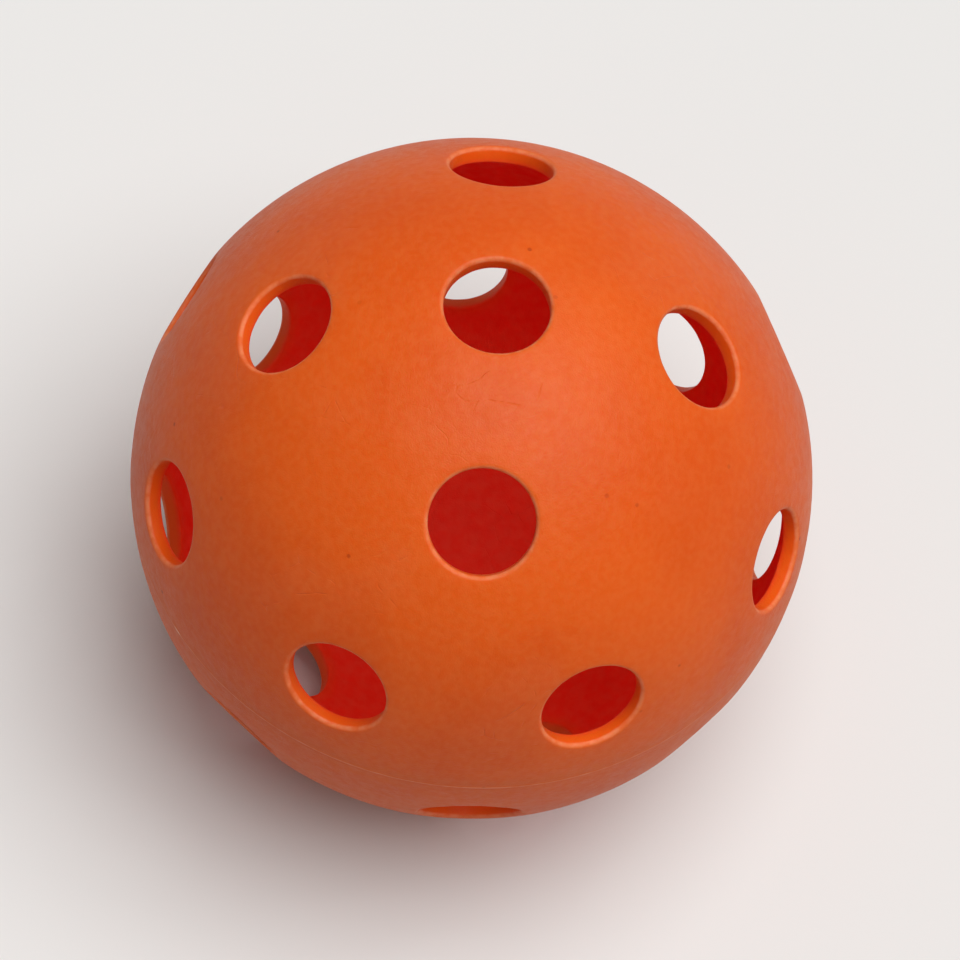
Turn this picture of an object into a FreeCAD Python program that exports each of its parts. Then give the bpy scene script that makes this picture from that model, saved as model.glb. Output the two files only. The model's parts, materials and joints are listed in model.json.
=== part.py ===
import FreeCAD, Part
import math
import os

import Sketcher
from FreeCAD import Vector

# An indoor pickleball ball: two moulded half shells, joined rim to rim by a weld.
#
# The origin is the ball's centre. +Z runs through the two pole holes, the weld lies in the XY
# plane, and +X passes over a hole of the upper half's first ring. Lengths are in millimetres
# and angles in degrees.

SIZES = (
    ("outer_diameter", 74.0, "across the outside of a half shell"),
    ("wall", 1.8, "thickness of a half shell"),
    ("hole_diameter", 11.0, "bore of every hole"),
    ("outer_lip", 0.5, "radius that rounds a hole's outer edge"),
    ("inner_lip", 0.3, "radius that rounds a hole's inner edge"),
    ("ring_one_tilt", 36.0, "angle from the pole hole to the first ring of holes"),
    ("ring_one_count", 4, "holes in the first ring"),
    ("ring_two_rise", 18.0, "angle from the weld up to the second ring of holes"),
    ("ring_two_count", 8, "holes in the second ring"),
    ("ring_two_turn", 22.5, "angle about the pole from a first-ring hole to a second-ring one"),
    ("lower_half_turn", 26.35, "angle about the pole from the upper half's holes to the lower's"),
    ("weld_height", 1.0, "from one rim to the other, filled by the weld"),
    ("bead_proud", 0.5, "how far the weld's bead stands into the hollow"),
    ("ridge_proud", 0.08, "how far the weld's ridge stands out of the ball"),
    ("ridge_width", 0.4, "width of that ridge"),
)

# What follows from those sizes, as expressions of the spreadsheet.
OUTER_RADIUS = "Sizes.outer_diameter / 2"
INNER_RADIUS = "Sizes.outer_diameter / 2 - Sizes.wall"
RIM_HEIGHT = "Sizes.weld_height / 2"
HOLE_RADIUS = "Sizes.hole_diameter / 2"
CUTTER_START = "Sizes.outer_diameter / 4"
CUTTER_END = "Sizes.outer_diameter / 2 + Sizes.wall"
RING_ONE_RISE = "90 - Sizes.ring_one_tilt"
RING_ONE_TURN = "0"
RIDGE_HEIGHT = "Sizes.ridge_width / 2"
RIDGE_TOP = "Sizes.outer_diameter / 2 + Sizes.ridge_proud"
BEAD_TOP = "Sizes.outer_diameter / 2 - Sizes.wall - Sizes.bead_proud"
UPRIGHT = "rotation(0; 0; 0)"
TURNED_OVER = "rotation(Sizes.lower_half_turn; 0; 180)"

# How Sketcher numbers a curve's start, end and centre, and a sketch's own origin and axes.
START, END, CENTRE = 1, 2, 3
ORIGIN = (-1, START)
LEVEL_AXIS = -1
UPRIGHT_AXIS = -2

FULL_TURN = 360
SAME_PLACE = 0.001  # points closer than this are one
CUTTING_FEATURES = (
    "PartDesign::Pocket",
    "PartDesign::Groove",
    "PartDesign::PolarPattern",
    "PartDesign::Fillet",
)


def make_sheet(doc):
    """Write the driving dimensions into a spreadsheet, one alias each."""
    sheet = doc.addObject("Spreadsheet::Sheet", "Sizes")
    for row, (alias, size, meaning) in enumerate(SIZES, start=1):
        sheet.set(f"A{row}", alias)
        sheet.set(f"B{row}", str(size))
        sheet.set(f"C{row}", meaning)
        sheet.setAlias(f"B{row}", alias)
    doc.recompute()


def make_body(doc, label):
    """Make the empty body of one sub-part."""
    body = doc.addObject("PartDesign::Body", label)
    body.Label = label
    return body


def add_sketch(body, name, plane_role):
    """Make a sketch on one of the body's own origin planes."""
    planes = [item for item in body.Origin.OriginFeatures if item.Role == plane_role]
    sketch = body.newObject("Sketcher::SketchObject", name)
    sketch.AttachmentSupport = [(planes[0], "")]
    sketch.MapMode = "FlatFace"
    return sketch


def on_circle(radius, height):
    """The point at a height on the right side of a circle about the origin."""
    return Vector(math.sqrt(radius**2 - height**2), height, 0)


def add_line(sketch, start, end, construction=False):
    """Add a straight line between two points."""
    return sketch.addGeometry(Part.LineSegment(start, end), construction)


def add_arc(sketch, start, end, centre=Vector()):
    """Add an arc that runs anticlockwise about a centre, which is the origin if none is given."""
    circle = Part.Circle(centre, Vector(0, 0, 1), centre.distanceToPoint(start))
    angles = [circle.parameter(point) for point in (start, end)]
    return sketch.addGeometry(Part.ArcOfCircle(circle, *angles))


def hold(sketch, kind, *places):
    """Add a constraint that has no size of its own."""
    sketch.addConstraint(Sketcher.Constraint(kind, *places))


def drive(sketch, name, expression, kind, *places):
    """Add a dimension whose size is an expression of the spreadsheet."""
    size = sketch.evalExpression(expression)
    if kind == "Angle":
        size = math.radians(size)
    index = sketch.addConstraint(Sketcher.Constraint(kind, *places, size))
    sketch.renameConstraint(index, name)
    sketch.setExpression(f"Constraints.{name}", expression)


def join(sketch, *curves):
    """Make each curve end where the next one starts."""
    for curve, following in zip(curves, curves[1:]):
        hold(sketch, "Coincident", curve, END, following, START)


def add_bulge(sketch, start, end, name, top_expression):
    """Add an arc that stands proud of an upright chord, which the level axis halves.

    Its top lies on that axis, at a driven distance from the origin.
    """
    top = Vector(sketch.evalExpression(top_expression), 0, 0)
    half_chord = start.distanceToPoint(end) / 2
    rise = top.x - start.x
    centre = Vector(start.x + (rise**2 - half_chord**2) / (2 * rise), 0, 0)
    arc = add_arc(sketch, start, end, centre)
    point = sketch.addGeometry(Part.Point(top), True)
    hold(sketch, "Symmetric", arc, START, arc, END, LEVEL_AXIS)
    hold(sketch, "PointOnObject", point, START, arc)
    hold(sketch, "PointOnObject", point, START, LEVEL_AXIS)
    drive(sketch, name, top_expression, "DistanceX", *ORIGIN, point, START)
    return arc


def revolve_about_poles(body, sketch, name):
    """Turn a section about the line through the poles."""
    solid = body.newObject("PartDesign::Revolution", name)
    solid.Profile = sketch
    solid.ReferenceAxis = (sketch, ["V_Axis"])
    solid.Angle = FULL_TURN


def add_dome(body):
    """Make the plain half shell: a dome of even wall, with a flat rim where the weld starts."""
    outer_radius = body.evalExpression(OUTER_RADIUS)
    inner_radius = body.evalExpression(INNER_RADIUS)
    rim_height = body.evalExpression(RIM_HEIGHT)
    outer_rim = on_circle(outer_radius, rim_height)
    outer_pole = on_circle(outer_radius, outer_radius)
    inner_rim = on_circle(inner_radius, rim_height)
    inner_pole = on_circle(inner_radius, inner_radius)

    sketch = add_sketch(body, "DomeSection", "XZ_Plane")
    rim_edge = add_line(sketch, inner_rim, outer_rim)
    outer = add_arc(sketch, outer_rim, outer_pole)
    pole_edge = add_line(sketch, outer_pole, inner_pole)
    inner = add_arc(sketch, inner_rim, inner_pole)
    join(sketch, rim_edge, outer, pole_edge)
    hold(sketch, "Coincident", pole_edge, END, inner, END)
    hold(sketch, "Coincident", rim_edge, START, inner, START)
    hold(sketch, "Coincident", outer, CENTRE, *ORIGIN)
    hold(sketch, "Coincident", inner, CENTRE, *ORIGIN)
    hold(sketch, "PointOnObject", outer, END, UPRIGHT_AXIS)
    hold(sketch, "PointOnObject", inner, END, UPRIGHT_AXIS)
    hold(sketch, "Horizontal", rim_edge)
    drive(sketch, "outer_radius", OUTER_RADIUS, "Radius", outer)
    drive(sketch, "inner_radius", INNER_RADIUS, "Radius", inner)
    drive(sketch, "rim_height", RIM_HEIGHT, "DistanceY", *ORIGIN, rim_edge, START)
    revolve_about_poles(body, sketch, "Dome")


def add_pole_hole(body):
    """Bore the hole at the pole."""
    sketch = add_sketch(body, "PoleHoleSection", "XY_Plane")
    hole_radius = body.evalExpression(HOLE_RADIUS)
    circle = sketch.addGeometry(Part.Circle(Vector(), Vector(0, 0, 1), hole_radius))
    hold(sketch, "Coincident", circle, CENTRE, *ORIGIN)
    drive(sketch, "hole_radius", HOLE_RADIUS, "Radius", circle)

    hole = body.newObject("PartDesign::Pocket", "PoleHole")
    hole.Profile = sketch
    hole.Type = "ThroughAll"
    hole.Reversed = True


def add_hole_ring(body, name, rise, turn, count):
    """Bore a hole square to the wall and repeat it about the pole.

    The hole's rise above the weld, its turn about the pole and the count are expressions.
    """
    sketch = add_sketch(body, f"{name}Section", "XZ_Plane")
    about_pole = FreeCAD.Rotation(Vector(0, 1, 0), sketch.evalExpression(turn))
    sketch.AttachmentOffset = FreeCAD.Placement(Vector(), about_pole)
    sketch.setExpression("AttachmentOffset.Rotation.Angle", turn)

    # The cutter is a rectangle turned about the hole's axis, which starts at the ball's centre.
    angle = math.radians(sketch.evalExpression(rise))
    along = Vector(math.cos(angle), math.sin(angle), 0)
    across = Vector(-along.y, along.x, 0) * sketch.evalExpression(HOLE_RADIUS)
    near = along * sketch.evalExpression(CUTTER_START)
    far = along * sketch.evalExpression(CUTTER_END)
    axis = add_line(sketch, Vector(), far, construction=True)
    middle = add_line(sketch, near, far)
    far_end = add_line(sketch, far, far + across)
    side = add_line(sketch, far + across, near + across)
    near_end = add_line(sketch, near + across, near)
    join(sketch, middle, far_end, side, near_end, middle)
    hold(sketch, "Coincident", axis, START, *ORIGIN)
    hold(sketch, "Coincident", axis, END, middle, END)
    hold(sketch, "PointOnObject", middle, START, axis)
    hold(sketch, "Perpendicular", middle, far_end)
    hold(sketch, "Perpendicular", middle, near_end)
    hold(sketch, "Parallel", middle, side)
    drive(sketch, "rise", rise, "Angle", axis)
    drive(sketch, "cutter_start", CUTTER_START, "Distance", *ORIGIN, middle, START)
    drive(sketch, "cutter_end", CUTTER_END, "Distance", axis)
    drive(sketch, "hole_radius", HOLE_RADIUS, "Distance", far_end)

    hole = body.newObject("PartDesign::Groove", f"{name}Hole")
    hole.Profile = sketch
    hole.ReferenceAxis = (sketch, ["Axis0"])
    hole.Angle = FULL_TURN

    ring = body.newObject("PartDesign::PolarPattern", f"{name}Holes")
    ring.Originals = [hole]
    ring.Axis = (sketch, ["V_Axis"])
    ring.Angle = FULL_TURN
    ring.setExpression("Occurrences", count)
    body.Tip = ring


def round_hole_edges(body, name, surface_radius, lip):
    """Round the edge that every hole has on one of the two spherical faces."""
    body.Document.recompute()
    base = body.Tip
    distance = body.evalExpression(surface_radius)
    bores = [face for face in base.Shape.Faces if isinstance(face.Surface, Part.Cylinder)]
    bore_edges = [edge for bore in bores for edge in bore.Edges]
    edge_names = [
        f"Edge{number}"
        for number, edge in enumerate(base.Shape.Edges, start=1)
        if any(edge.isSame(bore_edge) for bore_edge in bore_edges)
        and all(abs(end.Point.Length - distance) < SAME_PLACE for end in edge.Vertexes)
    ]
    rounding = body.newObject("PartDesign::Fillet", name)
    rounding.Base = (base, edge_names)
    rounding.setExpression("Radius", lip)
    body.Tip = rounding


def make_half_shell(doc, label, way_up):
    """One moulded half: a dome with a pole hole and two rings of holes, their edges rounded."""
    body = make_body(doc, label)
    add_dome(body)
    add_pole_hole(body)
    add_hole_ring(body, "RingOne", RING_ONE_RISE, RING_ONE_TURN, "Sizes.ring_one_count")
    add_hole_ring(
        body, "RingTwo", "Sizes.ring_two_rise", "Sizes.ring_two_turn", "Sizes.ring_two_count"
    )
    round_hole_edges(body, "OuterLips", OUTER_RADIUS, "Sizes.outer_lip")
    round_hole_edges(body, "InnerLips", INNER_RADIUS, "Sizes.inner_lip")
    body.setExpression("Placement", f"placement(vector(0; 0; 0); {way_up})")
    return body


def make_weld(doc, label):
    """The melted band between the rims, with a round bead inside and a fine ridge outside."""
    body = make_body(doc, label)
    outer_radius = body.evalExpression(OUTER_RADIUS)
    inner_radius = body.evalExpression(INNER_RADIUS)
    rim_height = body.evalExpression(RIM_HEIGHT)
    ridge_height = body.evalExpression(RIDGE_HEIGHT)
    inner_low = on_circle(inner_radius, -rim_height)
    inner_high = on_circle(inner_radius, rim_height)
    outer_low = on_circle(outer_radius, -rim_height)
    outer_high = on_circle(outer_radius, rim_height)
    ridge_low = on_circle(outer_radius, -ridge_height)
    ridge_high = on_circle(outer_radius, ridge_height)

    sketch = add_sketch(body, "WeldSection", "XZ_Plane")
    low_edge = add_line(sketch, inner_low, outer_low)
    low_flank = add_arc(sketch, outer_low, ridge_low)
    ridge = add_bulge(sketch, ridge_low, ridge_high, "ridge_top", RIDGE_TOP)
    high_flank = add_arc(sketch, ridge_high, outer_high)
    high_edge = add_line(sketch, outer_high, inner_high)
    bead = add_bulge(sketch, inner_high, inner_low, "bead_top", BEAD_TOP)
    join(sketch, low_edge, low_flank, ridge, high_flank, high_edge, bead, low_edge)
    hold(sketch, "Coincident", low_flank, CENTRE, *ORIGIN)
    hold(sketch, "Coincident", high_flank, CENTRE, *ORIGIN)
    hold(sketch, "Horizontal", low_edge)
    hold(sketch, "Horizontal", high_edge)
    drive(sketch, "outer_radius", OUTER_RADIUS, "Radius", high_flank)
    drive(sketch, "inner_radius", INNER_RADIUS, "Distance", *ORIGIN, bead, START)
    drive(sketch, "rim_height", RIM_HEIGHT, "DistanceY", *ORIGIN, high_edge, START)
    drive(sketch, "ridge_height", RIDGE_HEIGHT, "DistanceY", *ORIGIN, ridge, END)
    revolve_about_poles(body, sketch, "Weld")
    return body


def check_document(doc):
    """Stop if an object failed, or if a cut or a rounding took nothing away."""
    for item in doc.Objects:
        if {"Invalid", "Error"} & set(item.State):
            raise RuntimeError(f"{item.Label} has the state {item.State}")
        if item.TypeId in CUTTING_FEATURES:
            if item.Shape.Volume >= item.BaseFeature.Shape.Volume:
                raise RuntimeError(f"{item.Label} cut nothing")


def write_part(body):
    """Check one sub-part's solid and write it to its own file."""
    if body.Shape.isNull() or not body.Shape.isValid():
        raise RuntimeError(f"{body.Label} has no valid shape")
    body.Shape.exportStep(os.path.join("parts", f"{body.Label}.step"))
    print(f"{body.Label}: {body.Shape.Volume:.1f} cubic mm")


def main():
    doc = FreeCAD.newDocument("PickleballBall")
    make_sheet(doc)
    bodies = (
        make_half_shell(doc, "upper_half_shell", UPRIGHT),
        make_half_shell(doc, "lower_half_shell", TURNED_OVER),
        make_weld(doc, "weld_bead"),
    )
    doc.recompute()
    check_document(doc)
    os.makedirs("parts", exist_ok=True)
    for body in bodies:
        write_part(body)


main()
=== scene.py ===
import json
import math

import bmesh
import bpy
import numpy as np
from mathutils import Matrix, Vector, noise


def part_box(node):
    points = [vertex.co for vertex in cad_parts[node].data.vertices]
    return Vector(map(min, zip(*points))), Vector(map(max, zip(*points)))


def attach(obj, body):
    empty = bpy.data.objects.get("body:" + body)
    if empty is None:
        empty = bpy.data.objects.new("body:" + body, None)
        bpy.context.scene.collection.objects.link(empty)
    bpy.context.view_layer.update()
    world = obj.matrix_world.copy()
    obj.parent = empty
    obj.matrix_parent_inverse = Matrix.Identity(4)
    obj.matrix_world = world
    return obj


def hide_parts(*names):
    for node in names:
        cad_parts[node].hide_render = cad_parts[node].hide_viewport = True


# An indoor pickleball ball: two identical perforated half shells and the weld between them.
# Lengths are in metres. The origin is the ball's centre and +Z points to the upper pole hole.

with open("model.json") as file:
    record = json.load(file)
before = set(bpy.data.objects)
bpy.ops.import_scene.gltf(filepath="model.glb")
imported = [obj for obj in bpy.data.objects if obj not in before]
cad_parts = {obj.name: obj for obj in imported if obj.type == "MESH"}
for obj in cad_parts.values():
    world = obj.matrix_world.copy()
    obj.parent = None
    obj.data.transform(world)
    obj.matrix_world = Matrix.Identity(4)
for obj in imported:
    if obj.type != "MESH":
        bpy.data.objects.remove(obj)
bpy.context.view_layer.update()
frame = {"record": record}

MM = 0.001

# Sizes that the frame gives.
half_low, half_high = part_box("upper_half_shell")
RIM_HEIGHT = half_low.z
OUTER_RADIUS = math.hypot(half_high.x, RIM_HEIGHT)
RIDGE_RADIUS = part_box("weld_bead")[1].x
BALL_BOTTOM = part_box("lower_half_shell")[0].z
POLAR_BORE = next(m for m in frame["record"]["mounts"] if m["name"] == "polar_bore")
HOLE_RADIUS = POLAR_BORE["dims"]["r_mm"] * MM

# The moulding's other sizes.
WALL = 1.8 * MM
INNER_RADIUS = OUTER_RADIUS - WALL
OUTER_LIP = 0.42 * MM
INNER_LIP = 0.3 * MM
RING_ONE_TILT = math.radians(36)
RING_TWO_TILT = math.radians(72)
RING_TWO_TURN = math.radians(22.5)
LOWER_HALF_TURN = math.radians(26.35)

# How finely the mesh follows it. The rings of faces between a hole's lip and the outline of its
# patch crowd towards the lip.
EDGE_STEP = 0.8 * MM
SKIN_RINGS = 10
RING_CROWDING = 1.6
LIP_STEPS = 6
INNER_LIP_STEPS = 4
BORE_STEPS = 2
SAME_POINT = 0.002 * MM

# Slack for rounding, and how far apart two directions may be and still count as one.
ROUNDING = 1e-9
SAME_DIRECTION = 1e-6

# The weld: a hairline ridge outside, with one nick in it, and a rounded bead inside. It stops a
# hair short of each half, so that the closed meshes share no face.
WELD_STEPS = 720
WELD_OUTER_STEPS = 16
BEAD_STEPS = 12
RIDGE_PROUD = RIDGE_RADIUS - OUTER_RADIUS
RIDGE_HALF_WIDTH = 0.2 * MM
BEAD_PROUD = 0.5 * MM
WELD_GAP = 0.01 * MM

# The weld is uneven. Each three shares say how much of a size is always there, how much comes and
# goes with the flow of the melt, and how much with its finer crumbling.
FLOW_LENGTH = 6 * MM
CRUMBLE_LENGTH = 1.2 * MM
RIDGE_RISE_SHARES = (0.3, 0.25, 0.15)
RIDGE_WIDTH_SHARES = (0.8, 0.2, 0.2)
BEAD_RISE_SHARES = (0.75, 0.15, 0.1)
NICK_TURN = math.radians(-55)
NICK_LENGTH = 1.1 * MM
NICK_WIDENING = 0.8

# How far the wall sank from a true sphere as it cooled, and the width of the swells. The lips
# are rippled too, where the flash of the mould was trimmed off them.
SHOULDER_DEPTH = 0.05 * MM
SHOULDER_WIDTH = 0.9 * MM
SINK_DEPTH = 0.05 * MM
BROAD_SWELL = 30 * MM
SMALL_SWELL = 9 * MM
SMALL_SWELL_SHARE = 0.3
RIPPLE_DEPTH = 0.1 * MM
RIPPLE_LENGTH = 1.3 * MM
RIPPLE_REACH = 0.35 * MM

# The sharpest bend that still shades as one smooth surface.
SMOOTH_ANGLE = math.radians(35)

# Where the camera stands, and its lens.
CAMERA_TURN = math.radians(-4.59)
CAMERA_RISE = math.radians(60.79)
CAMERA_ROLL = math.radians(8.48)
CAMERA_DISTANCE = 13 * OUTER_RADIUS
CAMERA_LENS = 165.8
CAMERA_SHIFT = (0.0087, -0.0015)

# The studio: how far the floor reaches each way; where the key lamp stands, the angle that it
# fills, and how strong it is; how strongly the surroundings light the ball and how pale they look;
# how much of that paleness shows in a reflection; and how often light may cross the inside of the
# ball before it leaves.
FLOOR_REACH = 100 * OUTER_RADIUS
KEY_TOWARDS = (0.06, 0.26, 0.96)
KEY_WIDTH = math.radians(54)
KEY_STRENGTH = 0.82
STUDIO_LIGHT = 0.17
STUDIO_PALENESS = 0.84
GLOSS_SHARE = 0.4
INNER_CROSSINGS = 12

# How high the grain stands: on the moulded skin, and on the weld, which melted smooth.
SKIN_RELIEF = 0.09 * MM
WELD_RELIEF = 0.02 * MM

# Sizes in the wear, in millimetres: how scratches wander and break up, and how edges are rubbed
# and painted with a highlight. A scratched patch is worn by its own share, where a rubbed and
# highlit edge is worn by 1.
BEND_SIZE = 9.0
BEND_REACH = 7.0
BREAK_SIZE = 1.5
RUB_SIZE = 1.2
PATCH_WEAR = 0.08

# Colours, as a screen shows them, from 0 to 255.
ORANGE = (240, 98, 18)
ORANGE_DRIFT = (232, 89, 11)
ORANGE_BLOOM = (255, 172, 104)
ORANGE_SPECK = (204, 74, 14)
BORE_ORANGE = (240, 99, 20)
# Painted reflection: inside the ball the orange is painted deep red, for the light that it throws
# back and forth on itself.
INNER_RED = (255, 62, 34)
INNER_DRIFT = (255, 54, 28)
INNER_BLOOM = (255, 150, 110)
INNER_SPECK = (240, 44, 22)
# Painted highlight, in part: the outer lips of the holes are painted pale, partly as rubbing and
# partly as the highlight on their rounding.
RUBBED = (255, 168, 122)
# Painted highlight, in part: the weld's crest is painted pale, partly as rubbing and partly as a
# highlight.
WELD_CREST = (255, 176, 136)
FRESH_NICK = (255, 204, 176)
SATIN_HAZE = (255, 196, 170)
FLOOR_SEEN = (239, 238, 236)
FLOOR_BOUNCE = (184, 183, 181)
STUDIO_AIR = (252, 250, 248)


# ---- Mesh of a half shell -----------------------------------------------------------------


def direction(tilt, turn):
    """The unit vector at an angle from the pole and an angle about it."""
    flat = math.sin(tilt)
    return np.array((flat * math.cos(turn), flat * math.sin(turn), math.cos(tilt)))


def unit(vector):
    return vector / np.linalg.norm(vector)


def hole_axes():
    """The axis of each hole of one half: the pole's, the ring of four's, the ring of eight's."""
    ring_one = [direction(RING_ONE_TILT, math.tau * k / 4) for k in range(4)]
    ring_two = [direction(RING_TWO_TILT, math.tau * k / 8 + RING_TWO_TURN) for k in range(8)]
    return [direction(0, 0), *ring_one, *ring_two]


def rim_points(axis, other, rim_sine):
    """The two points of the rim that lie as far from one hole's axis as from another's."""
    apart = axis - other
    level = np.hypot(apart[0], apart[1])
    if level < ROUNDING:
        return []
    towards = math.atan2(apart[1], apart[0])
    cosine = -apart[2] * rim_sine / (level * math.sqrt(1 - rim_sine**2))
    if abs(cosine) > 1:
        return []
    side = math.acos(cosine)
    tilt = math.acos(rim_sine)
    return [direction(tilt, towards + side), direction(tilt, towards - side)]


def cell_corners(axis, others, rim_sine):
    """Corners of the patch of shell that is nearer to this hole than to any other, in order."""
    found = []
    for i, first in enumerate(others):
        found += rim_points(axis, first, rim_sine)
        for second in others[i + 1:]:
            normal = np.cross(axis - first, axis - second)
            if np.linalg.norm(normal) > ROUNDING:
                point = unit(normal)
                found.append(point if point @ axis > 0 else -point)
    corners = []
    for point in found:
        nearest = all(point @ axis > point @ other - ROUNDING for other in others)
        on_shell = point[2] > rim_sine - ROUNDING
        is_new = all(np.linalg.norm(point - corner) > SAME_DIRECTION for corner in corners)
        if nearest and on_shell and is_new:
            corners.append(point)
    across, up = hole_frame(axis)
    return sorted(corners, key=lambda p: math.atan2(p @ up, p @ across))


def hole_frame(axis):
    """Two directions that are square to a hole's axis and to each other."""
    side = np.array((0.0, 0.0, 1.0)) if abs(axis[2]) < 0.9 else np.array((1.0, 0.0, 0.0))
    across = unit(np.cross(side, axis))
    return across, np.cross(axis, across)


def great_arc(start, end, share):
    """The point at a share of the way between two unit vectors, along the sphere."""
    angle = math.acos(max(-1.0, min(1.0, start @ end)))
    if angle < ROUNDING:
        return start
    return (math.sin((1 - share) * angle) * start + math.sin(share * angle) * end) / math.sin(angle)


def rim_arc(start, end, share):
    """The point at a share of the way between two points of the rim, along the rim."""
    from_turn = math.atan2(start[1], start[0])
    step = (math.atan2(end[1], end[0]) - from_turn + math.pi) % math.tau - math.pi
    return direction(math.acos(start[2]), from_turn + share * step)


def cell_edges(axis, others):
    """The patch's outline on the outer and the inner sphere: (outer, inner, is on the rim).

    Neighbouring patches divide the edge that they share in the same way.
    """
    outlines = []
    for radius in (OUTER_RADIUS, INNER_RADIUS):
        outlines.append(cell_corners(axis, others, RIM_HEIGHT / radius))
    points = []
    for k in range(len(outlines[0])):
        outer_start, inner_start = (outline[k] for outline in outlines)
        outer_end, inner_end = (outline[(k + 1) % len(outline)] for outline in outlines)
        at_rim = max(outer_start[2], outer_end[2]) < RIM_HEIGHT / OUTER_RADIUS + SAME_DIRECTION
        arc = rim_arc if at_rim else great_arc
        angle = math.acos(max(-1.0, min(1.0, outer_start @ outer_end)))
        steps = max(2, round(angle * OUTER_RADIUS / EDGE_STEP))
        for step in range(steps):
            share = step / steps
            points.append((
                arc(outer_start, outer_end, share), arc(inner_start, inner_end, share), at_rim,
            ))
    return points


def lip_profile():
    """Section of a hole's wall from the outer skin to the inner: (from the axis, along it).

    Both lips are arcs that run smoothly into the sphere and into the straight bore.
    """
    outer_across = HOLE_RADIUS + OUTER_LIP
    outer_along = math.sqrt((OUTER_RADIUS - OUTER_LIP) ** 2 - outer_across**2)
    outer_tilt = math.atan2(outer_across, outer_along)
    inner_across = HOLE_RADIUS + INNER_LIP
    inner_along = math.sqrt((INNER_RADIUS + INNER_LIP) ** 2 - inner_across**2)
    inner_tilt = math.atan2(inner_across, inner_along)
    profile = []
    for step in range(LIP_STEPS + 1):
        angle = outer_tilt - (outer_tilt + math.pi / 2) * step / LIP_STEPS
        profile.append((
            outer_across + OUTER_LIP * math.sin(angle), outer_along + OUTER_LIP * math.cos(angle),
        ))
    for step in range(1, BORE_STEPS):
        share = step / BORE_STEPS
        profile.append((HOLE_RADIUS, outer_along + share * (inner_along - outer_along)))
    for step in range(INNER_LIP_STEPS + 1):
        angle = -math.pi / 2 - (math.pi / 2 - inner_tilt) * step / INNER_LIP_STEPS
        profile.append((
            inner_across + INNER_LIP * math.sin(angle), inner_along + INNER_LIP * math.cos(angle),
        ))
    return profile


def shell_patch(axis, others):
    """The patch of wall round one hole, from its outline on the outer skin, over both lips, to
    its outline on the inner skin: (points, faces)."""
    profile = lip_profile()
    edges = cell_edges(axis, others)
    points = []
    for outer_edge, inner_edge, _ in edges:
        away = unit(outer_edge - (outer_edge @ axis) * axis)
        wall = [across * away + along * axis for across, along in profile]
        to_outline = [(ring / SKIN_RINGS) ** RING_CROWDING for ring in range(SKIN_RINGS + 1)]
        outer_skin = [
            OUTER_RADIUS * great_arc(unit(wall[0]), outer_edge, share)
            for share in reversed(to_outline[1:])
        ]
        inner_skin = [
            INNER_RADIUS * great_arc(unit(wall[-1]), inner_edge, share)
            for share in to_outline[1:]
        ]
        points += outer_skin + wall + inner_skin
    column = len(points) // len(edges)
    faces = []
    for k, (_, _, at_rim) in enumerate(edges):
        here, there = k * column, (k + 1) % len(edges) * column
        for row in range(column - 1):
            faces.append((here + row, here + row + 1, there + row + 1, there + row))
        if at_rim:
            faces.append((here, there, there + column - 1, here + column - 1))
    return points, faces


def half_shell_mesh(name):
    """The mesh of one moulding, pole up: a patch round each hole, joined at their outlines."""
    axes = hole_axes()
    points, faces = [], []
    for k, axis in enumerate(axes):
        patch_points, patch_faces = shell_patch(axis, axes[:k] + axes[k + 1:])
        start = len(points)
        points += patch_points
        faces += [tuple(start + index for index in face) for face in patch_faces]
    mesh = bpy.data.meshes.new(name)
    mesh.from_pydata([Vector(point) for point in points], [], faces)
    joined = bmesh.new()
    joined.from_mesh(mesh)
    bmesh.ops.remove_doubles(joined, verts=joined.verts, dist=SAME_POINT)
    bmesh.ops.recalc_face_normals(joined, faces=joined.faces)
    joined.to_mesh(mesh)
    joined.free()
    return mesh


# ---- Mesh of the weld ---------------------------------------------------------------------


def uneven(shares, flow, crumble):
    """The share of a size that is there at a place in the weld."""
    always, with_flow, with_crumble = shares
    return always + with_flow * flow + with_crumble * crumble


def weld_section(turn):
    """Outline of the weld at an angle about the pole: (distance from the pole's axis, height).

    It runs up the outer side, over the ridge, and down the bead on the inner side.
    """
    place = OUTER_RADIUS * Vector((math.cos(turn), math.sin(turn), 0))
    flow = 0.5 + 0.5 * noise.noise(place / FLOW_LENGTH)
    crumble = 0.5 + 0.5 * noise.noise(place / CRUMBLE_LENGTH)
    nick = math.exp(-((turn - NICK_TURN) * OUTER_RADIUS / NICK_LENGTH) ** 2)
    ridge = RIDGE_PROUD * max(nick, uneven(RIDGE_RISE_SHARES, flow, crumble))
    widened = uneven(RIDGE_WIDTH_SHARES, flow, crumble) + NICK_WIDENING * nick
    half_width = RIDGE_HALF_WIDTH * widened
    bead = BEAD_PROUD * uneven(BEAD_RISE_SHARES, flow, crumble)
    half_height = RIM_HEIGHT - WELD_GAP
    outline = []
    for step in range(WELD_OUTER_STEPS + 1):
        height = half_height * (2 * step / WELD_OUTER_STEPS - 1)
        across = min(1, abs(height) / half_width)
        rise = ridge * math.cos(across * math.pi / 2) ** 2
        outline.append((math.sqrt(OUTER_RADIUS**2 - height**2) + rise, height))
    root = math.sqrt(INNER_RADIUS**2 - half_height**2)
    for step in range(BEAD_STEPS + 1):
        angle = math.pi * (0.5 + step / BEAD_STEPS)
        outline.append((root + bead * math.cos(angle), half_height * math.sin(angle)))
    return outline


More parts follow.
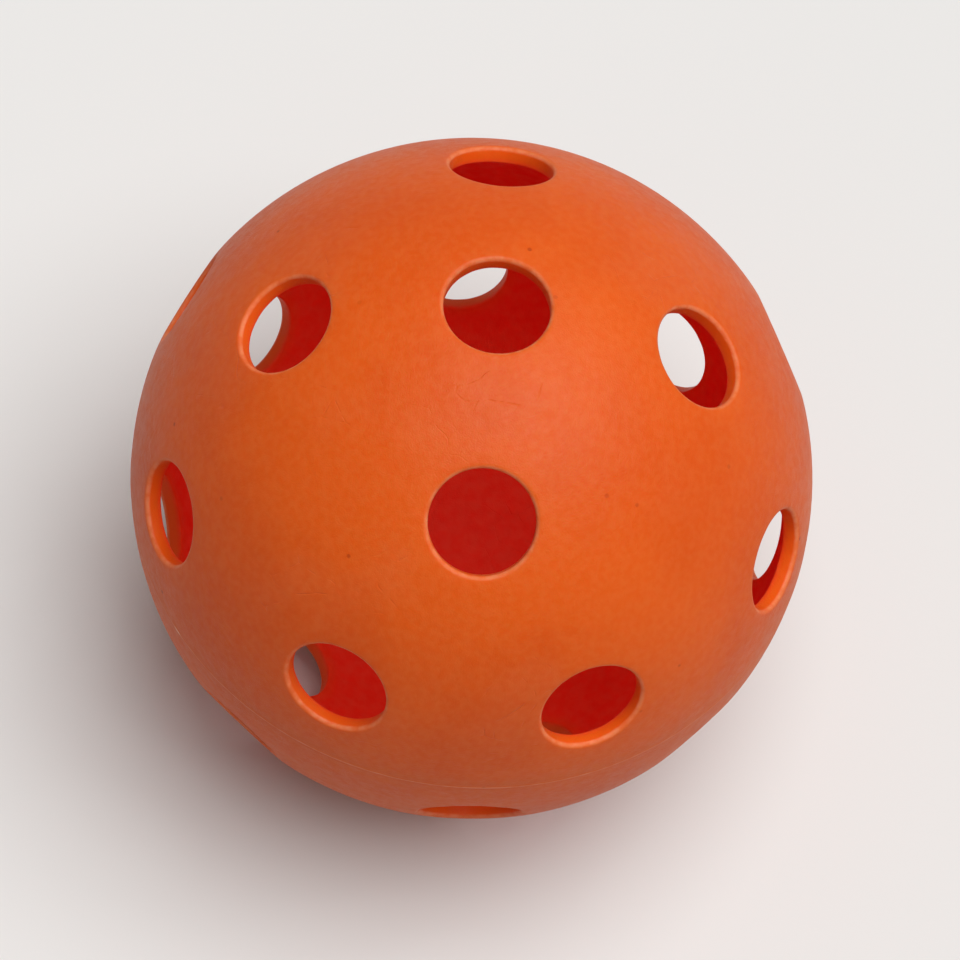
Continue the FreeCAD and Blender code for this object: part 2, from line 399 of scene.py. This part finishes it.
def weld_mesh(name):
    """The mesh of the weld: its section carried once round the pole's axis."""
    points, faces = [], []
    for station in range(WELD_STEPS):
        turn = math.tau * station / WELD_STEPS - math.pi
        outline = weld_section(turn)
        for radius, height in outline:
            points.append((radius * math.cos(turn), radius * math.sin(turn), height))
    column = len(outline)
    for station in range(WELD_STEPS):
        here, there = station * column, (station + 1) % WELD_STEPS * column
        for row in range(column):
            above = (row + 1) % column
            faces.append((here + row, there + row, there + above, here + above))
    mesh = bpy.data.meshes.new(name)
    mesh.from_pydata(points, [], faces)
    return mesh


# ---- Pieces -------------------------------------------------------------------------------


def let_sink(mesh):
    """Moves each point towards the centre by as much as the wall sank there in cooling: in
    broad swells, a little more on the shoulder round each hole, and in ripples on its lips."""
    from_hole = mesh.attributes["from_hole"].data
    for vertex in mesh.vertices:
        swell = (1 - SMALL_SWELL_SHARE) * noise.noise(vertex.co / BROAD_SWELL)
        swell += SMALL_SWELL_SHARE * noise.noise(vertex.co / SMALL_SWELL)
        sink = SINK_DEPTH * (0.5 + 0.5 * swell)
        away = from_hole[vertex.index].value * MM
        sink += SHOULDER_DEPTH * math.exp(-away / SHOULDER_WIDTH)
        ripple = 0.5 + 0.5 * noise.noise(vertex.co / RIPPLE_LENGTH)
        sink += RIPPLE_DEPTH * ripple * math.exp(-away / RIPPLE_REACH)
        vertex.co *= 1 - sink / vertex.co.length


def note_wall(mesh, axes):
    """Stores at each point what its finish depends on: how far it lies from the nearest hole's
    wall, in millimetres, and how deep in the shell's wall, from 0 outside to 1 inside. A point
    on the weld's ridge has a depth below 0."""
    places = np.array([vertex.co for vertex in mesh.vertices])
    along = places @ np.array(axes).T
    radii = np.linalg.norm(places, axis=1)
    across = np.sqrt(np.maximum(0, radii[:, None] ** 2 - along**2))
    across[along < 0] = OUTER_RADIUS
    from_hole = (across.min(axis=1) - HOLE_RADIUS) / MM
    depth = (OUTER_RADIUS - radii) / WALL
    for name, values in (("from_hole", from_hole), ("depth", depth)):
        attribute = mesh.attributes.new(name, "FLOAT", "POINT")
        attribute.data.foreach_set("value", values.astype(np.float32))


def add_piece(mesh, node, material):
    """Puts a finished mesh in the place of a CAD node."""
    mesh.materials.append(material)
    mesh.shade_smooth()
    mesh.set_sharp_from_angle(angle=SMOOTH_ANGLE)
    piece = bpy.data.objects.new(mesh.name, mesh)
    bpy.context.scene.collection.objects.link(piece)
    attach(piece, "root")
    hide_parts(node)
    return piece


def add_half_shells(material):
    """The two mouldings. The lower one is the same as the upper, turned over and round."""
    upper = half_shell_mesh("upper_moulding")
    lower = upper.copy()
    lower.name = "lower_moulding"
    turned = Matrix.Rotation(LOWER_HALF_TURN, 3, "Z") @ Matrix.Rotation(math.pi, 3, "X")
    lower.transform(turned.to_4x4())
    upper_axes = hole_axes()
    lower_axes = [np.array(turned) @ axis for axis in upper_axes]
    for mesh, axes, node in (
        (upper, upper_axes, "upper_half_shell"), (lower, lower_axes, "lower_half_shell"),
    ):
        note_wall(mesh, axes)
        let_sink(mesh)
        add_piece(mesh, node, material)


def add_weld(material):
    mesh = weld_mesh("weld_line")
    note_wall(mesh, hole_axes())
    let_sink(mesh)
    add_piece(mesh, "weld_bead", material)


# ---- Shader nodes -------------------------------------------------------------------------


def linear(colour):
    """A colour as a screen shows it, from 0 to 255, turned into what the shader takes."""
    shares = [value / 255 for value in colour]
    curve = (c / 12.92 if c <= 0.04045 else ((c + 0.055) / 1.055) ** 2.4 for c in shares)
    return (*curve, 1)


def add_node(tree, kind, inputs=None, **settings):
    """Adds a node. Each input is a number or colour, or the socket that feeds it."""
    node = tree.nodes.new(kind)
    for name, value in settings.items():
        setattr(node, name, value)
    for name, value in (inputs or {}).items():
        if isinstance(value, bpy.types.NodeSocket):
            tree.links.new(value, node.inputs[name])
        else:
            node.inputs[name].default_value = value
    return node


def maths(tree, operation, first, second=0.0):
    return add_node(tree, "ShaderNodeMath", {0: first, 1: second}, operation=operation).outputs[0]


# A Mix node has its own sockets, with the same names, for each kind of data, so they go by number.
def mix_values(tree, factor, first, second):
    inputs = {0: factor, 2: first, 3: second}
    return add_node(tree, "ShaderNodeMix", inputs, data_type="FLOAT").outputs[0]


def mix_colours(tree, factor, first, second):
    inputs = {0: factor, 6: first, 7: second}
    return add_node(tree, "ShaderNodeMix", inputs, data_type="RGBA").outputs[2]


def remap(tree, value, start, end, low=0.0, high=1.0):
    """Carries a value from start..end to low..high, smoothly at both ends."""
    inputs = {"Value": value, 1: start, 2: end, 3: low, 4: high}
    return add_node(tree, "ShaderNodeMapRange", inputs, interpolation_type="SMOOTHSTEP").outputs[0]


def noise_value(tree, place, size, detail):
    """Noise whose features are about a size across, in millimetres."""
    inputs = {"Vector": place, "Scale": maths(tree, "DIVIDE", 1.0, size), "Detail": detail}
    return add_node(tree, "ShaderNodeTexNoise", inputs).outputs[0]


def cell_texture(tree, place, size, feature="F1"):
    """Irregular cells about a size across, in millimetres."""
    inputs = {"Vector": place, "Scale": maths(tree, "DIVIDE", 1.0, size)}
    return add_node(tree, "ShaderNodeTexVoronoi", inputs, feature=feature).outputs


def place_in_mm(tree):
    """Where a point lies on the ball, in millimetres."""
    place = add_node(tree, "ShaderNodeTexCoord").outputs["Object"]
    return add_node(
        tree, "ShaderNodeVectorMath", {0: place, "Scale": 1 / MM}, operation="SCALE",
    ).outputs[0]


# The kinds of socket that a node group has.
FLOAT, COLOUR = "NodeSocketFloat", "NodeSocketColor"


def new_group(name, inputs, outputs):
    """An empty node group with named sockets: (its tree, its inputs, its output node)."""
    tree = bpy.data.node_groups.new(name, "ShaderNodeTree")
    for socket, (kind, value) in inputs.items():
        made = tree.interface.new_socket(socket, in_out="INPUT", socket_type=kind)
        made.default_value = value
    for socket, kind in outputs.items():
        tree.interface.new_socket(socket, in_out="OUTPUT", socket_type=kind)
    return tree, tree.nodes.new("NodeGroupInput").outputs, tree.nodes.new("NodeGroupOutput")


def make_mould_texture():
    """The satin skin that a blasted mould leaves: fine grain on a shallow orange peel."""
    tree, given, out = new_group(
        "Mould Texture",
        {"Grain Size": (FLOAT, 0.15), "Peel Size": (FLOAT, 1.2), "Peel Share": (FLOAT, 0.6)},
        {"Height": FLOAT},
    )
    place = place_in_mm(tree)
    grain = noise_value(tree, place, given["Grain Size"], detail=2.0)
    peel = noise_value(tree, place, given["Peel Size"], detail=1.0)
    height = mix_values(tree, given["Peel Share"], grain, peel)
    tree.links.new(height, out.inputs["Height"])
    return tree


def make_pigment_flow():
    """Pigment that mixed unevenly in the melt: soft drifts of colour and a few dark specks."""
    tree, given, out = new_group(
        "Pigment Flow",
        {
            "Colour": (COLOUR, (0.8, 0.8, 0.8, 1)), "Drift Colour": (COLOUR, (0.7, 0.7, 0.7, 1)),
            "Bloom Colour": (COLOUR, (0.9, 0.9, 0.9, 1)), "Bloom": (FLOAT, 0.05),
            "Speck Colour": (COLOUR, (0.3, 0.3, 0.3, 1)), "Drift Size": (FLOAT, 12.0),
            "Mottle Size": (FLOAT, 0.8), "Speck Spacing": (FLOAT, 3.0),
        },
        {"Colour": COLOUR},
    )
    place = place_in_mm(tree)
    drift = remap(tree, noise_value(tree, place, given["Drift Size"], detail=3.0), 0.35, 0.65)
    colour = mix_colours(tree, drift, given["Colour"], given["Drift Colour"])
    mottle = remap(tree, noise_value(tree, place, given["Mottle Size"], detail=4.0), 0.3, 0.7)
    bloom = maths(tree, "MULTIPLY", mottle, given["Bloom"])
    colour = mix_colours(tree, bloom, colour, given["Bloom Colour"])
    cells = cell_texture(tree, place, given["Speck Spacing"])
    speck = remap(tree, cells["Distance"], 0.05, 0.1, 1.0, 0.0)
    chosen = remap(tree, cells["Color"], 0.6, 0.9)
    colour = mix_colours(tree, maths(tree, "MULTIPLY", speck, chosen), colour, given["Speck Colour"])
    tree.links.new(colour, out.inputs["Colour"])
    return tree


def make_handling_wear():
    """What play and handling leave: patches of fine scratches, and edges rubbed pale. The pale
    edges are partly a painted highlight.
    """
    tree, given, out = new_group(
        "Handling Wear",
        {
            "Edge": (FLOAT, 0.0), "Scratch Spacing": (FLOAT, 4.0), "Patch Size": (FLOAT, 14.0),
            "Amount": (FLOAT, 0.5),
        },
        {"Wear": FLOAT, "Scratch": FLOAT},
    )
    place = place_in_mm(tree)
    bend = maths(tree, "MULTIPLY", noise_value(tree, place, BEND_SIZE, detail=2.0), BEND_REACH)
    bent = add_node(
        tree, "ShaderNodeVectorMath", {0: place, 1: bend}, operation="ADD",
    ).outputs[0]
    cells = cell_texture(tree, bent, given["Scratch Spacing"], feature="DISTANCE_TO_EDGE")
    line = remap(tree, cells["Distance"], 0.0, 0.02, 1.0, 0.0)
    patch = remap(tree, noise_value(tree, place, given["Patch Size"], detail=4.0), 0.52, 0.66)
    broken = remap(tree, noise_value(tree, place, BREAK_SIZE, detail=2.0), 0.45, 0.6)
    scratch = maths(tree, "MULTIPLY", maths(tree, "MULTIPLY", line, patch), broken)
    rub = remap(tree, noise_value(tree, place, RUB_SIZE, detail=4.0), 0.35, 0.65, 0.35, 1.0)
    edge = maths(tree, "MULTIPLY", given["Edge"], rub)
    wear = maths(tree, "MAXIMUM", edge, maths(tree, "MULTIPLY", patch, PATCH_WEAR))
    for name, value in (("Wear", wear), ("Scratch", scratch)):
        tree.links.new(maths(tree, "MULTIPLY", value, given["Amount"]), out.inputs[name])
    return tree


# ---- Materials ----------------------------------------------------------------------------


def place_group(tree, group, inputs):
    return add_node(tree, "ShaderNodeGroup", inputs, node_tree=group).outputs


def new_material(name):
    """An empty material: (material, its tree, its Principled shader)."""
    material = bpy.data.materials.new(name)
    material.use_nodes = True
    return material, material.node_tree, material.node_tree.nodes["Principled BSDF"]


def stored(tree, name):
    return add_node(tree, "ShaderNodeAttribute", attribute_name=name).outputs["Fac"]


def orange_pigment(tree, groups):
    """The orange that both mouldings and the weld are made of."""
    return place_group(tree, groups["pigment"], {
        "Colour": linear(ORANGE), "Drift Colour": linear(ORANGE_DRIFT),
        "Bloom Colour": linear(ORANGE_BLOOM), "Bloom": 0.07, "Speck Colour": linear(ORANGE_SPECK),
        "Drift Size": 18.0, "Mottle Size": 0.8, "Speck Spacing": 3.2,
    })["Colour"]


def inner_orange(tree, groups):
    """Painted reflection: the same orange, painted deep red inside the ball, where it sees only
    itself and throws its light back and forth.
    """
    return place_group(tree, groups["pigment"], {
        "Colour": linear(INNER_RED), "Drift Colour": linear(INNER_DRIFT),
        "Bloom Colour": linear(INNER_BLOOM), "Bloom": 0.12, "Speck Colour": linear(INNER_SPECK),
        "Drift Size": 14.0, "Mottle Size": 1.3, "Speck Spacing": 3.2,
    })["Colour"]


def play_wear(tree, groups, edge):
    """The wear of a ball that has seen a little play, heaviest along the given edge, whose
    paleness is partly a painted highlight.
    """
    return place_group(tree, groups["wear"], {
        "Edge": edge, "Scratch Spacing": 5.0, "Patch Size": 15.0, "Amount": 0.5,
    })


def set_polyethylene(shader, waxy):
    """How light goes into the plastic and comes off it: waxy, satin, and hazy at the limb."""
    shader.inputs["IOR"].default_value = 1.5
    shader.inputs["Specular IOR Level"].default_value = 0.2
    shader.inputs["Subsurface Weight"].default_value = waxy
    shader.inputs["Subsurface Radius"].default_value = (1.0, 0.25, 0.1)
    shader.inputs["Subsurface Scale"].default_value = 1.5 * MM
    shader.inputs["Sheen Weight"].default_value = 0.01
    shader.inputs["Sheen Roughness"].default_value = 0.4
    shader.inputs["Sheen Tint"].default_value = linear(SATIN_HAZE)


def make_shell_plastic(groups):
    """Orange polyethylene: satin outside, painted deep red inside for the light that the orange
    throws back and forth in the ball, brighter in the bores of the holes, and pale on their outer
    lips, partly rubbed and partly a painted highlight."""
    material, tree, shader = new_material("orange_polyethylene")
    from_hole, depth = stored(tree, "from_hole"), stored(tree, "depth")
    past_lip = remap(tree, from_hole, -0.1, 1.8, 0.6, 1.0)
    # Painted reflection: the inner skin is painted deep red, a little less near the holes, for the
    # light thrown back and forth inside the ball. The same mask makes the inner skin rougher.
    inside = maths(tree, "MULTIPLY", remap(tree, depth, 0.6, 1.0), past_lip)
    bore = maths(tree, "MULTIPLY", remap(tree, from_hole, 0.2, 0.0), remap(tree, depth, 0.1, 0.35))
    # Painted highlight, in part: the outer lip is painted pale, partly as rubbing and partly as the
    # highlight on its rounding.
    lip = maths(tree, "MULTIPLY", remap(tree, from_hole, 0.5, 0.1), remap(tree, depth, 0.3, 0.15))

    wear = play_wear(tree, groups, lip)
    colour = mix_colours(tree, bore, orange_pigment(tree, groups), linear(BORE_ORANGE))
    colour = mix_colours(tree, inside, colour, inner_orange(tree, groups))
    colour = mix_colours(tree, wear["Wear"], colour, linear(RUBBED))
    tree.links.new(colour, shader.inputs["Base Color"])

    skin = place_group(tree, groups["texture"], {
        "Grain Size": 0.16, "Peel Size": 1.1, "Peel Share": 0.55,
    })
    rough = remap(tree, skin["Height"], 0.35, 0.65, 0.36, 0.48)
    rough = maths(tree, "ADD", rough, maths(tree, "MULTIPLY", wear["Wear"], 0.12))
    rough = maths(tree, "ADD", rough, maths(tree, "MULTIPLY", inside, 0.2))
    tree.links.new(rough, shader.inputs["Roughness"])
    height = maths(tree, "SUBTRACT", skin["Height"], wear["Scratch"])
    bump = add_node(tree, "ShaderNodeBump", {"Height": height, "Distance": SKIN_RELIEF})
    tree.links.new(bump.outputs[0], shader.inputs["Normal"])
    set_polyethylene(shader, waxy=0.35)
    return material


def make_weld_plastic(groups):
    """The same plastic where it melted and set again: paler along the ridge, which stands above
    the skin and so has a depth below 0, partly rubbed and partly a painted highlight; palest in
    the nick, and a little glossier."""
    material, tree, shader = new_material("remelted_polyethylene")
    depth = stored(tree, "depth")
    # Painted highlight, in part: the ridge's crest is painted pale, partly as rubbing and partly as
    # a highlight.
    crest = remap(tree, depth, -0.002, -0.025)
    nick = remap(tree, depth, -0.029, -0.035)
    # Painted reflection: the inner side of the bead is painted deep red like the inside of the
    # shells.
    inside = remap(tree, depth, 0.85, 1.0)

    wear = play_wear(tree, groups, crest)
    colour = mix_colours(tree, inside, orange_pigment(tree, groups), inner_orange(tree, groups))
    colour = mix_colours(tree, wear["Wear"], colour, linear(WELD_CREST))
    colour = mix_colours(tree, nick, colour, linear(FRESH_NICK))
    tree.links.new(colour, shader.inputs["Base Color"])

    skin = place_group(tree, groups["texture"], {
        "Grain Size": 0.25, "Peel Size": 0.9, "Peel Share": 0.7,
    })
    tree.links.new(remap(tree, skin["Height"], 0.3, 0.7, 0.36, 0.46), shader.inputs["Roughness"])
    bump = add_node(tree, "ShaderNodeBump", {"Height": skin["Height"], "Distance": WELD_RELIEF})
    tree.links.new(bump.outputs[0], shader.inputs["Normal"])
    set_polyethylene(shader, waxy=0.0)
    return material


# ---- Floor, light and camera --------------------------------------------------------------


def seen_straight(tree):
    """1 where the camera sees a surface, less where a reflection does, and 0 where the surface
    only passes light on."""
    rays = add_node(tree, "ShaderNodeLightPath").outputs
    seen = maths(tree, "MAXIMUM", rays["Is Camera Ray"], rays["Is Transmission Ray"])
    return maths(tree, "MAXIMUM", seen, maths(tree, "MULTIPLY", rays["Is Glossy Ray"], GLOSS_SHARE))


def add_floor():
    """A large pale floor under the ball. It looks paler than the light that it throws back."""
    material, tree, shader = new_material("pale_floor")
    colour = mix_colours(tree, seen_straight(tree), linear(FLOOR_BOUNCE), linear(FLOOR_SEEN))
    tree.links.new(colour, shader.inputs["Base Color"])
    shader.inputs["Roughness"].default_value = 0.8
    shader.inputs["Specular IOR Level"].default_value = 0.2
    mesh = bpy.data.meshes.new("floor")
    corners = [(-1, -1), (1, -1), (1, 1), (-1, 1)]
    points = [(x * FLOOR_REACH, y * FLOOR_REACH, BALL_BOTTOM) for x, y in corners]
    mesh.from_pydata(points, [], [(0, 1, 2, 3)])
    mesh.materials.append(material)
    floor = bpy.data.objects.new("floor", mesh)
    bpy.context.scene.collection.objects.link(floor)


def add_lamp(name, towards, width, strength):
    """A broad lamp, far enough off to light the floor evenly. Width is the angle that it fills,
    and a strength of 1 shows a colour as it is written."""
    lamp = bpy.data.lights.new(name, "SUN")
    lamp.angle = width
    lamp.energy = strength * math.pi
    place = bpy.data.objects.new(name, lamp)
    place.location = CAMERA_DISTANCE * Vector(towards).normalized()
    place.rotation_mode = "QUATERNION"
    place.rotation_quaternion = Vector(towards).to_track_quat("Z", "Y")
    bpy.context.scene.collection.objects.link(place)


def add_world():
    """Even pale light from all round. The camera and reflections see it paler than it lights."""
    world = bpy.data.worlds.new("studio")
    world.use_nodes = True
    bpy.context.scene.world = world
    tree = world.node_tree
    strength = remap(tree, seen_straight(tree), 0.0, 1.0, STUDIO_LIGHT, STUDIO_PALENESS)
    background = tree.nodes["Background"]
    background.inputs["Color"].default_value = linear(STUDIO_AIR)
    tree.links.new(strength, background.inputs["Strength"])


def add_camera():
    """The camera, turned about the pole, raised above the rim and rolled."""
    flat = math.cos(CAMERA_RISE)
    back = Vector((
        flat * math.cos(CAMERA_TURN), flat * math.sin(CAMERA_TURN), math.sin(CAMERA_RISE),
    ))
    level = Vector((-math.sin(CAMERA_TURN), math.cos(CAMERA_TURN), 0))
    right = level * math.cos(CAMERA_ROLL) + back.cross(level) * math.sin(CAMERA_ROLL)
    lens = bpy.data.cameras.new("camera")
    lens.lens = CAMERA_LENS
    lens.shift_x, lens.shift_y = CAMERA_SHIFT
    lens.clip_start, lens.clip_end = 0.1 * CAMERA_DISTANCE, 100 * CAMERA_DISTANCE
    camera = bpy.data.objects.new("camera", lens)
    turned = Matrix((right, back.cross(right), back)).transposed()
    camera.matrix_world = Matrix.Translation(CAMERA_DISTANCE * back) @ turned.to_4x4()
    bpy.context.scene.collection.objects.link(camera)
    bpy.context.scene.camera = camera


# ---- Scene --------------------------------------------------------------------------------

groups = {
    "texture": make_mould_texture(), "pigment": make_pigment_flow(), "wear": make_handling_wear(),
}
add_half_shells(make_shell_plastic(groups))
add_weld(make_weld_plastic(groups))

add_floor()
add_lamp("key_lamp", KEY_TOWARDS, KEY_WIDTH, KEY_STRENGTH)
add_world()
add_camera()
bpy.context.scene.view_settings.view_transform = "Standard"
bpy.context.scene.cycles.diffuse_bounces = INNER_CROSSINGS
